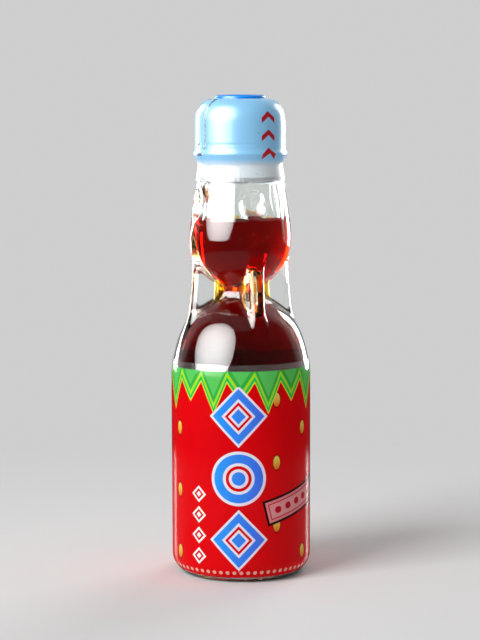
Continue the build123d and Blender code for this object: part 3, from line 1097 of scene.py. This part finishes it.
# %% Geometry Nodes: tabs on a ring
tab_low, tab_high = (corner.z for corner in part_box("break_tabs"))
tab_root = plunger_radius + 0.1
tab_sizes = {
    "Count": 4, "Ring radius": (tab_root + hole_radius) / 2 * MM, "Height": (tab_low + tab_high) / 2,
    "Length": (hole_radius - tab_root) * MM, "Width": 1.6 * MM, "Thickness": tab_high - tab_low,
}
block_tree, given, group_out = new_tree("blocks_on_a_ring", tab_sizes)
circle = add(block_tree, "GeometryNodeMeshCircle", given["Count"], given["Ring radius"])
lift = add(block_tree, "ShaderNodeCombineXYZ", 0.0, 0.0, given["Height"])
raised = add(block_tree, "GeometryNodeSetPosition", circle, None, None, lift)
block_size = add(block_tree, "ShaderNodeCombineXYZ", given["Length"], given["Width"], given["Thickness"])
block = add(block_tree, "GeometryNodeMeshCube", block_size)
position = add(block_tree, "GeometryNodeInputPosition")
split = add(block_tree, "ShaderNodeSeparateXYZ", position)
heading = add(block_tree, "ARCTAN2", split.outputs["Y"], split.outputs["X"])
turn = add(block_tree, "ShaderNodeCombineXYZ", 0.0, 0.0, heading)
copies = add(block_tree, "GeometryNodeInstanceOnPoints", raised, None, block, None, None, turn)
real = add(block_tree, "GeometryNodeRealizeInstances", copies)
dressed = add(block_tree, "GeometryNodeSetMaterial", real, None, given["Material"])
link(block_tree, dressed, group_out.inputs[0])
tabs = run_tree("break_tabs_moulded", block_tree, tab_sizes, ring_plastic)
place(tabs, "opener", "blue_plastic", "break_tabs")

# %% [markdown]
# ## Bubbles
#
# A fizzy drink holds small bubbles under its surface, where they cling to the glass. They are points on a ring, moved
# by a seeded random amount, each with a little sphere of its own size.

# %% Geometry Nodes: bubbles under the surface
bubble_sizes = {
    "Count": 60, "Ring radius": 15.9 * MM, "Height": (fill_height - 1.2) * MM, "Spread": 0.7 * MM,
    "Depth": 9.0 * MM, "Bubble radius": 0.22 * MM, "Seed": 7,
}
bubble_tree, given, group_out = new_tree("bubbles_on_a_ring", bubble_sizes)
circle = add(bubble_tree, "GeometryNodeMeshCircle", given["Count"], given["Ring radius"])
inwards = add(bubble_tree, "MULTIPLY", given["Spread"], -1.0)
lowest = add(bubble_tree, "SUBTRACT", given["Height"], given["Depth"])
low_corner = add(bubble_tree, "ShaderNodeCombineXYZ", inwards, inwards, lowest)
high_corner = add(bubble_tree, "ShaderNodeCombineXYZ", given["Spread"], given["Spread"], given["Height"])
jitter = add(bubble_tree, "FunctionNodeRandomValue", low_corner, high_corner, data_type="FLOAT_VECTOR")
link(bubble_tree, given["Seed"], jitter.inputs["Seed"])
moved = add(bubble_tree, "GeometryNodeSetPosition", circle, None, None, jitter)
ball = add(bubble_tree, "GeometryNodeMeshIcoSphere", given["Bubble radius"], 2)
growth = add(bubble_tree, "FunctionNodeRandomValue", None, None, 0.35, 1.3, data_type="FLOAT")
link(bubble_tree, given["Seed"], growth.inputs["Seed"])
copies = add(
    bubble_tree, "GeometryNodeInstanceOnPoints", moved, None, ball, None, None, None, growth.outputs[1]
)
real = add(bubble_tree, "GeometryNodeRealizeInstances", copies)
round_balls = add(bubble_tree, "GeometryNodeSetShadeSmooth", real)
dressed = add(bubble_tree, "GeometryNodeSetMaterial", round_balls, None, given["Material"])
link(bubble_tree, dressed, group_out.inputs[0])

gas, tree, shader = material("gas_bubble", {
    "Base Color": (1, 1, 1, 1), "Roughness": 0.0, "IOR": 1.33, "Transmission Weight": 1.0,
})
bubbles = run_tree("bubbles", bubble_tree, bubble_sizes, gas)
place(bubbles, "bottle", "clear_glass")

# %% [markdown]
# ### Printed shrink film
#
# Both films are PET, printed on the inside and shrunk on with hot air, so they have an even gloss with fine drawn
# lines near their edges. A print is flat colour with sharp edges, so its pattern is drawn from distances: each mark
# is the set of points whose distance from a shape is less than some millimetres. The distance along the film is the
# angle about the axis times the radius, and the height is the height.

# %% Small helpers for drawing with distances
def through(tree, value, *steps):
    """Takes a value through sums, one after the other. A step is an operation, or one with its other values."""
    for step in steps:
        operation, *others = (step,) if isinstance(step, str) else step
        value = add(tree, operation, value, *others)
    return value


def film_coordinates(tree, radius):
    """Millimetres round the film from its front, to the right, and millimetres up it."""
    split = add(tree, "ShaderNodeSeparateXYZ", add(tree, "ShaderNodeTexCoord").outputs["Object"])
    forward = through(tree, split.outputs["Y"], ("MULTIPLY", -1.0))
    return (
        through(tree, split.outputs["X"], ("ARCTAN2", forward), ("MULTIPLY", radius)),
        through(tree, split.outputs["Z"], ("MULTIPLY", 1 / MM)),
    )


def inside(tree, distance, edge=0.0, softness=0.12):
    """One where the distance is under the edge, falling to nought over the softness."""
    under = add(tree, "SUBTRACT", edge, distance)
    return add(tree, "MULTIPLY_ADD", under, 1 / softness, 0.5, use_clamp=True)


def stamp(tree, base, ink, distance, edge=0.0, softness=0.12, within=None):
    """Prints an ink over a base where the distance is under the edge, and only within a mask if one is given."""
    cover = inside(tree, distance, edge, softness)
    if within is not None:
        cover = add(tree, "MULTIPLY", cover, within)
    mix = add(tree, "ShaderNodeMix", cover, data_type="RGBA")
    for socket, value in ((mix.inputs[6], base), (mix.inputs[7], ink)):
        if isinstance(value, str):
            socket.default_value = colour(value)
        else:
            tree.links.new(value, socket)
    return mix.outputs[2]


def layers(tree, base, distance, inks, softness=0.12, within=None):
    """Prints several inks over one another, each up to an edge of its own."""
    for edge, ink in inks:
        base = stamp(tree, base, ink, distance, edge, softness, within)
    return base


def ramp(tree, value, nought, one):
    """Nought at one value and one at another, straight between them and level beyond."""
    return add(tree, "MULTIPLY_ADD", value, 1 / (one - nought), nought / (nought - one), use_clamp=True)


def repeated(tree, value, pitch, first=0.0):
    """The distance from the middle of the nearest repeat, with its sign."""
    return through(tree, value, ("SUBTRACT", first - pitch / 2), ("FLOORED_MODULO", pitch), ("SUBTRACT", pitch / 2))


def every_other(tree, value, pitch):
    """Nought and one by turns, changing half way between the repeats."""
    return through(tree, value, ("ADD", pitch / 2), ("DIVIDE", pitch), "FLOOR", ("FLOORED_MODULO", 2.0))


def span(tree, value, middle, half):
    """How far a value lies beyond half a width from a middle: negative within."""
    return through(tree, value, ("SUBTRACT", middle), "ABSOLUTE", ("SUBTRACT", half))


def from_point(tree, across, up):
    """The straight distance from a point."""
    return through(tree, across, ("POWER", 2.0), ("ADD", through(tree, up, ("POWER", 2.0))), "SQRT")


def drawn_lines(tree, shader, low, high, along, up):
    """Fine lines drawn by the heat, strongest near the two edges of the film."""
    across = through(tree, along, ("MULTIPLY", 0.55))
    stretched = add(tree, "ShaderNodeCombineXYZ", across, through(tree, up, ("MULTIPLY", 0.07)))
    near_low = through(tree, up, ("SUBTRACT", low), ("MULTIPLY", -0.25), "EXPONENT")
    near_high = through(tree, up, ("SUBTRACT", high), ("MULTIPLY", 0.25), "EXPONENT")
    share = through(tree, near_low, ("ADD", near_high), ("MULTIPLY_ADD", 0.8, 0.12))
    uneven(tree, shader, 1.0, 0.25, stretched, share)


print("drawing helpers ready")

# %% [markdown]
# ### The sleeve's print
#
# The sleeve shows a generic design in the colours of such a drink: a red field with gold spots, green pennants along
# the top, large blue and white figures down the front, a small white column beside them and a tilted banner. Its inks
# let some light through, so the film scatters light inside its own thickness.

# %% Print on the sleeve: field, spots and pennants
sleeve_radius = body_radius + film_gap
print_top = label_high - 3.2
print_low = label_low + 1.2
sleeve_material, tree, shader = material("pet_shrink_sleeve_printed", {
    "Roughness": 0.1, "IOR": 1.57, "Specular IOR Level": 0.16,
    "Subsurface Weight": 0.6, "Subsurface Scale": 0.0008,
})
u, v = film_coordinates(tree, sleeve_radius)
slow = add(tree, "ShaderNodeTexNoise", add(tree, "ShaderNodeTexCoord").outputs["Object"], None, 1 / (30 * MM))
field = stamp(tree, "#E2000C", "#F40A10", slow, 0.5, 1.0)

spot_pitch = 2 * pi * sleeve_radius / 12
spot_rise = 26.0
stagger = through(tree, every_other(tree, u, spot_pitch), ("MULTIPLY", spot_rise / 2))
spot_u = repeated(tree, u, spot_pitch)
spot_v = repeated(tree, add(tree, "ADD", v, stagger), spot_rise, 11.0)
spot = from_point(tree, through(tree, spot_u, ("MULTIPLY", 1.75)), spot_v)
off_the_front = inside(tree, through(tree, u, ("ADD", 6.0), "ABSOLUTE", ("MULTIPLY", -1.0)), -19.0)
gold = stamp(tree, "#FFE36A", "#F0700C", spot_v, 0.0, 6.0)
field = layers(tree, field, spot, ((3.5, "#A80008"), (2.8, gold)), 0.3, off_the_front)

tooth_pitch = 2 * pi * sleeve_radius / 16
tooth = through(tree, repeated(tree, u, tooth_pitch), "ABSOLUTE", ("MULTIPLY", -2 / tooth_pitch), ("ADD", 1.0))
tooth_length = through(tree, every_other(tree, u, tooth_pitch), ("MULTIPLY_ADD", 4.5, 8.5))
hanging = through(tree, tooth, ("MULTIPLY", tooth_length), ("MULTIPLY_ADD", -1.0, print_top - 4.0))
pennant = add(tree, "SUBTRACT", hanging, v)
on_the_front = inside(tree, through(tree, u, "ABSOLUTE"), 4.5 * tooth_pitch)
field = layers(tree, field, pennant, (
    (0.0, "#F0E83C"), (-0.8, "#23C552"), (-2.6, "#A6E22E"), (-4.6, "#3BB54A"), (-7.2, "#5FCB62"),
), within=on_the_front)
print("sleeve field, spots and pennants drawn")

# %% Print on the sleeve: figures, white column and banner
figure_pitch = 25.6
figure_low = 18.4
figure_u = through(tree, u, ("ADD", 1.0))
figure_v = repeated(tree, v, figure_pitch, figure_low)
figure_high = inside(tree, span(tree, v, 43.5, 38.2))
figure_rows = add(tree, "MULTIPLY", figure_high, inside(tree, span(tree, u, -1.0, 13.0)))
middle_row = inside(tree, span(tree, v, figure_low + figure_pitch, figure_pitch / 2))
roundel = from_point(tree, figure_u, figure_v)
upright = through(tree, figure_v, "ABSOLUTE", ("MULTIPLY", 0.94))
lozenge = through(tree, figure_u, "ABSOLUTE", ("ADD", upright), ("MULTIPLY", 0.94))
other_rows = through(tree, middle_row, ("MULTIPLY_ADD", -1.0, 1.0))
figure = through(tree, lozenge, ("MULTIPLY", other_rows), ("ADD", add(tree, "MULTIPLY", roundel, middle_row)))
blue = stamp(tree, "#4C74F0", "#2CA2FF", figure_u, 0.0, 22.0)
field = layers(tree, field, figure, (
    (11.3, "#FFE6F2"), (10.1, blue), (6.5, "#FFE6F2"), (5.3, field), (4.0, "#FFE6F2"), (2.8, blue),
), within=figure_rows)

white_u = through(tree, u, ("ADD", 18.5), "ABSOLUTE")
white = through(tree, repeated(tree, v, 8.6, 11.0), "ABSOLUTE", ("ADD", white_u))
white_rows = inside(tree, span(tree, v, 23.9, 17.2))
field = layers(tree, field, white, ((3.5, "#FFF6F2"), (2.4, field), (1.2, "#FFF6F2")), within=white_rows)

tilt = radians(14)
banner_u = through(tree, u, ("SUBTRACT", 26.0))
banner_v = through(tree, v, ("SUBTRACT", 33.0))
banner_x = through(tree, banner_u, ("MULTIPLY", cos(tilt)), ("ADD", through(tree, banner_v, ("MULTIPLY", sin(tilt)))))
banner_y = through(
    tree, banner_v, ("MULTIPLY", cos(tilt)), ("SUBTRACT", through(tree, banner_u, ("MULTIPLY", sin(tilt))))
)
banner_ends = span(tree, banner_x, 0.0, 15.5)
banner = add(tree, "MAXIMUM", banner_ends, span(tree, banner_y, 0.0, 4.4))
field = layers(tree, field, banner, ((1.0, "#2A0408"), (0.0, "#F4888C"), (-1.0, "#D8303C"), (-1.5, "#F79A9C")))
studs = from_point(tree, repeated(tree, banner_x, 5.2), banner_y)
field = stamp(tree, field, "#C80C24", studs, 1.5, 0.12, inside(tree, banner, -3.0))

dots = from_point(tree, repeated(tree, u, 2.9), through(tree, v, ("SUBTRACT", 4.6)))
field = stamp(tree, field, "#FFB4A0", dots, 0.8, 0.12, inside(tree, span(tree, u, 0.0, 37.7)))

panel_u = through(tree, u, "ABSOLUTE", ("MULTIPLY_ADD", -1.0, pi * sleeve_radius))
panel = add(tree, "MAXIMUM", through(tree, panel_u, ("SUBTRACT", 19.0)), span(tree, v, 38.0, 27.0))
field = layers(tree, field, panel, ((0.8, "#A80008"), (0.0, "#F8ECE2"), (-1.2, "#E08A80"), (-1.5, "#F8ECE2")))
bars = span(tree, repeated(tree, v, 5.4), 0.0, 0.3)
field = stamp(tree, field, "#C98F86", bars, 0.0, 0.12, inside(tree, panel, -3.6))
field = stamp(tree, field, "#C9000E", panel_u, 0.35)
link(tree, field, shader.inputs["Base Color"])
drawn_lines(tree, shader, label_low, label_high, u, v)

clear_film, tree, shader = material("pet_shrink_film_clear", {
    "Base Color": (0.98, 0.98, 0.98, 1), "Roughness": 0.06, "IOR": 1.57, "Transmission Weight": 1.0,
})
drawn_lines(tree, shader, label_low, label_high, *film_coordinates(tree, sleeve_radius))
wear(sleeve, sleeve_material, clear_film)
for face in sleeve.data.polygons:
    face.material_index = int(not print_low < face.center.z / MM < print_top)
print("sleeve dressed")

# %% [markdown]
# ### The closure film's print
#
# This film is pale blue and turns whiter where it thins out over the neck, with a few specks of stray ink and three
# red marks that point up. A dashed line of painted shade lies along the perforation's cuts round the tear strip, and
# a mark of painted shade lies over the slot in it. Its lowest edge has no ink. At the top it ends in a ragged lip round
# the plunger, whose bright blue edge shows above it.

# %% Print on the closure film
closure_radius = opener_side + skin
closure_material, tree, shader = material("pet_shrink_film_pale_blue", {
    "Roughness": 0.28, "IOR": 1.57, "Subsurface Weight": 0.08, "Subsurface Scale": 0.002,
})
u, v = film_coordinates(tree, closure_radius)
film_colour = stamp(tree, "#94D4FF", "#E9F1F7", v, opener_low - 0.6, 3.0)
grain = add(tree, "ShaderNodeTexNoise", add(tree, "ShaderNodeTexCoord").outputs["Object"], None, 1 / (1.1 * MM))
film_colour = stamp(tree, film_colour, "#4F7490", through(tree, grain, ("MULTIPLY", -1.0)), -0.745, 0.03)
mark_u = through(tree, u, ("SUBTRACT", 12.4), "ABSOLUTE")
mark_v = repeated(tree, v, 7.4, 177.2)
chevron = through(tree, mark_u, ("MULTIPLY_ADD", 0.8, mark_v), "ABSOLUTE", ("SUBTRACT", 1.15))
chevron = through(tree, chevron, ("MAXIMUM", through(tree, mark_u, ("SUBTRACT", 3.3))))
film_colour = stamp(tree, film_colour, "#C4001A", chevron, within=inside(tree, span(tree, v, 183.2, 12.2)))

film_place = add(tree, "ShaderNodeTexCoord").outputs["Object"]
strip_out = (cos(strip_angle) / MM, sin(strip_angle) / MM, 0)
strip_aside = (-sin(strip_angle) / MM, cos(strip_angle) / MM, 0)
outward = add(tree, "ShaderNodeVectorMath", film_place, strip_out, operation="DOT_PRODUCT").outputs["Value"]
aside = add(tree, "ShaderNodeVectorMath", film_place, strip_aside, operation="DOT_PRODUCT").outputs["Value"]
corner_cut = ramp(tree, v, strip_bottom + strip_corner[1], strip_bottom)
beside = through(tree, aside, "ABSOLUTE", ("ADD", through(tree, corner_cut, ("MULTIPLY", strip_corner[0]))))
beside = through(tree, beside, ("SUBTRACT", strip_half_width + strip_gap / 2))
below = through(tree, v, ("MULTIPLY_ADD", -1.0, strip_bottom))
beyond = through(tree, from_point(tree, outward, aside), ("MULTIPLY_ADD", -1.0, strip_top_radius))
outline = through(tree, beside, ("MAXIMUM", below), ("MAXIMUM", beyond), "ABSOLUTE")
# Painted shade: the shade in the perforation's cuts round the tear strip, drawn as a dark dashed line.
dashes = inside(tree, repeated(tree, add(tree, "ADD", v, aside), 2.0), 0.75)
on_the_strip_side = inside(tree, through(tree, outward, ("MULTIPLY", -1.0)), -2.0)
cut_shade_mask = add(tree, "MULTIPLY", dashes, on_the_strip_side)
film_colour = stamp(tree, film_colour, "#1C4460", outline, 0.55, 0.15, cut_shade_mask)
# Painted shade: a dark mark over the slot in the strip, the shade that lies in it above the ring.
slot = add(tree, "MAXIMUM", span(tree, aside, 0.0, 2.4), span(tree, v, slot_height, 0.35))
film_colour = stamp(tree, film_colour, "#1E4258", slot, 0.0, 0.3, on_the_strip_side)
link(tree, film_colour, shader.inputs["Base Color"])
no_upper_edge = film_high + 20  # so far off that the heat draws no lines at the top
drawn_lines(tree, shader, film_low, no_upper_edge, u, v)

edge_film, tree, shader = material("pet_shrink_film_unprinted", {
    "Base Color": (0.93, 0.95, 0.97, 1), "Roughness": 0.3, "IOR": 1.57, "Transmission Weight": 0.85,
})
drawn_lines(tree, shader, film_low, no_upper_edge, *film_coordinates(tree, closure_radius))
wear(film, closure_material, edge_film)
clear_band = film_low + 2.1
for face in film.data.polygons:
    face.material_index = int(face.center.z / MM < clear_band)
wear(strip, closure_material)
print("closure film dressed")

# %% [markdown]
# ## Stage and light
#
# The bottle stands on a pale lacquered table in a round pale room. Clear glass has no colour of its own: the eye reads
# it from what it bends and mirrors. So a big round soft light stands at the left, two narrow ones behind give the
# bright lines along its edges, and the half of the room behind the photographer is dim, as a studio is, which keeps
# the drink and the print deep. The lamps that only show in gloss add no light to the colours.
#
# The table has its sheen only for rays that something else has mirrored. Seen by the camera it is matt, because the
# narrow lamps' images would lie on it as white patches. The round lamp's image is kept off it by leaving the table
# out of what that lamp lights. A little way out the table fades into the colour of the wall.

# %% Floor and wall
pale = 0.62
dim = 0.03
floor_flat = 1.3
wall_curve = 1.2
wall_top = 3.2
around = 96
room_turn = (1.6 / 3, 2.6 / 3)  # metres behind the bottle between which the room turns from dim to pale
table_fade = (0.12, 0.32)  # metres from the bottle between which the table fades into the wall
table_sheen = 0.33  # what the lacquer's index has over air's
front_share = 0.7  # how far the table in front takes on the dim of the room, for mirrored rays
room_light = 0.3
bounces = 24  # at the default the glass turned black in places


def stage_piece(name, rows):
    """A round stage in metres whose inside is the side that shows."""
    turn = full_turn(around)
    points = [(radius * cos(angle), radius * sin(angle), height) for radius, height in rows for angle in turn]
    corners = [(row, column) for row in range(len(rows) - 1) for column in range(around)]
    faces = [
        (row * around + column, (row + 1) * around + column,
         (row + 1) * around + (column + 1) % around, row * around + (column + 1) % around)
        for row, column in corners
    ]
    mesh = bpy.data.meshes.new(name)
    mesh.from_pydata(points, [], faces)
    mesh.shade_smooth()
    piece = in_scene(name, mesh)
    return piece


def room_glow(tree):
    """The light of the wall: pale where it is looked at or seen through glass, and dim in front for mirrored rays."""
    path = add(tree, "ShaderNodeLightPath")
    split = add(tree, "ShaderNodeSeparateXYZ", add(tree, "ShaderNodeTexCoord").outputs["Object"])
    behind = ramp(tree, split.outputs["Y"], *room_turn)
    seen = add(tree, "MAXIMUM", path.outputs["Is Camera Ray"], path.outputs["Is Transmission Ray"])
    lit = add(tree, "MAXIMUM", seen, behind)
    strength = add(tree, "MULTIPLY_ADD", lit, pale - dim, dim)
    return add(tree, "ShaderNodeEmission", (1, 1, 1, 1), strength), path, behind


floor = stage_piece("floor", [(radius, 0.0) for radius in np.linspace(0.001, floor_flat, 32)])
table_material, tree, shader = material("table_pale_lacquer", {
    "Base Color": (0.74, 0.74, 0.74, 1), "Roughness": 0.16, "IOR": 1.33,
})
table_place = add(tree, "ShaderNodeTexCoord")
away = add(tree, "ShaderNodeVectorMath", table_place.outputs["Object"], operation="LENGTH")
far = ramp(tree, away.outputs["Value"], *table_fade)
glow, path, behind = room_glow(tree)
looked_at = add(tree, "MAXIMUM", path.outputs["Is Camera Ray"], path.outputs["Is Glossy Ray"])
looked_at = add(tree, "MAXIMUM", looked_at, path.outputs["Is Transmission Ray"])
in_front = add(tree, "MULTIPLY_ADD", behind, -front_share, front_share)
mirrored = add(tree, "MULTIPLY", path.outputs["Is Glossy Ray"], in_front)
share = add(tree, "MAXIMUM", add(tree, "MULTIPLY", far, looked_at), mirrored)
link(tree, add(tree, "MULTIPLY_ADD", path.outputs["Is Glossy Ray"], table_sheen, 1.0), shader.inputs["IOR"])
faded = add(tree, "ShaderNodeMixShader", share, shader, glow)
link(tree, faded, tree.nodes["Material Output"].inputs["Surface"])
wear(floor, table_material)

backdrop = stage_piece("backdrop", [
    *arc((floor_flat, wall_curve), wall_curve, -90, 0, 24), (floor_flat + wall_curve, wall_top),
])
backdrop.visible_diffuse = False
backdrop.visible_shadow = False
wall_material, tree, shader = material("wall_pale_paint", {})
glow, *_ = room_glow(tree)
link(tree, glow, tree.nodes["Material Output"].inputs["Surface"])
wear(backdrop, wall_material)

world = bpy.data.worlds.new("studio")
world.use_nodes = True
world.node_tree.nodes["Background"].inputs["Color"].default_value = (1, 1, 1, 1)
world.node_tree.nodes["Background"].inputs["Strength"].default_value = room_light
bpy.context.scene.world = world
bpy.context.scene.view_settings.view_transform = "Standard"
for kind in ("max_bounces", "transmission_bounces", "glossy_bounces"):
    setattr(bpy.context.scene.cycles, kind, bounces)

# %% Lamps
aim = Vector((0, 0, 0.11))


def softbox(name, shape, azimuth, elevation, distance, size, radiance, gloss_only=False):
    """A flat soft lamp that faces the bottle. Azimuth is counted from the camera's side to the left."""
    turn, rise = radians(azimuth), radians(elevation)
    lamp_data = bpy.data.lights.new(name, "AREA")
    lamp_data.shape = shape
    lamp_data.size, lamp_data.size_y = size
    area = size[0] * size[1] * (pi / 4 if shape == "ELLIPSE" else 1)
    lamp_data.energy = radiance * pi * area
    lamp = in_scene(name, lamp_data)
    away = Vector((-sin(turn) * cos(rise), -cos(turn) * cos(rise), sin(rise)))
    lamp.location = aim + away * distance
    lamp.rotation_euler = (-away).to_track_quat("-Z", "Y").to_euler()
    lamp.visible_camera = False
    lamp.visible_diffuse = not gloss_only
    lamp.visible_glossy = gloss_only
    return lamp


def fade_to_rim(lamp_data, middle, rim):
    """Lets a soft lamp be brightest in its middle, as its cloth is with one bulb behind it."""
    lamp_data.use_nodes = True
    tree = lamp_data.node_tree
    place_on_lamp = add(tree, "ShaderNodeNewGeometry").outputs["Parametric"]
    from_middle = add(tree, "ShaderNodeVectorMath", place_on_lamp, (0.5, 0.5, 0), operation="DISTANCE")
    from_middle = through(tree, from_middle.outputs["Value"], ("MULTIPLY", 2.0), ("POWER", 2.0))
    strength = through(tree, from_middle, ("MULTIPLY_ADD", rim - middle, middle))
    link(tree, strength, tree.nodes["Emission"].inputs["Strength"])


softbox("key", "RECTANGLE", 50, 34, 1.7, (0.9, 0.9), 10.0)
softbox("back_fill", "RECTANGLE", -150, 30, 1.7, (0.9, 0.9), 4.0)
round_lamp = softbox("round_left", "ELLIPSE", 52, 26, 1.2, (1.75, 1.75), 12.0, gloss_only=True)
fade_to_rim(round_lamp.data, 1.6, 0.5)
table_left_out = bpy.data.collections.new("table_left_out")
table_left_out.objects.link(floor)
table_left_out.collection_objects[0].light_linking.link_state = "EXCLUDE"
round_lamp.light_linking.receiver_collection = table_left_out
softbox("rim_right", "RECTANGLE", -142, 4, 0.9, (0.22, 0.9), 24.0, gloss_only=True)
softbox("rim_left", "RECTANGLE", 140, 4, 0.9, (0.16, 0.9), 24.0, gloss_only=True)
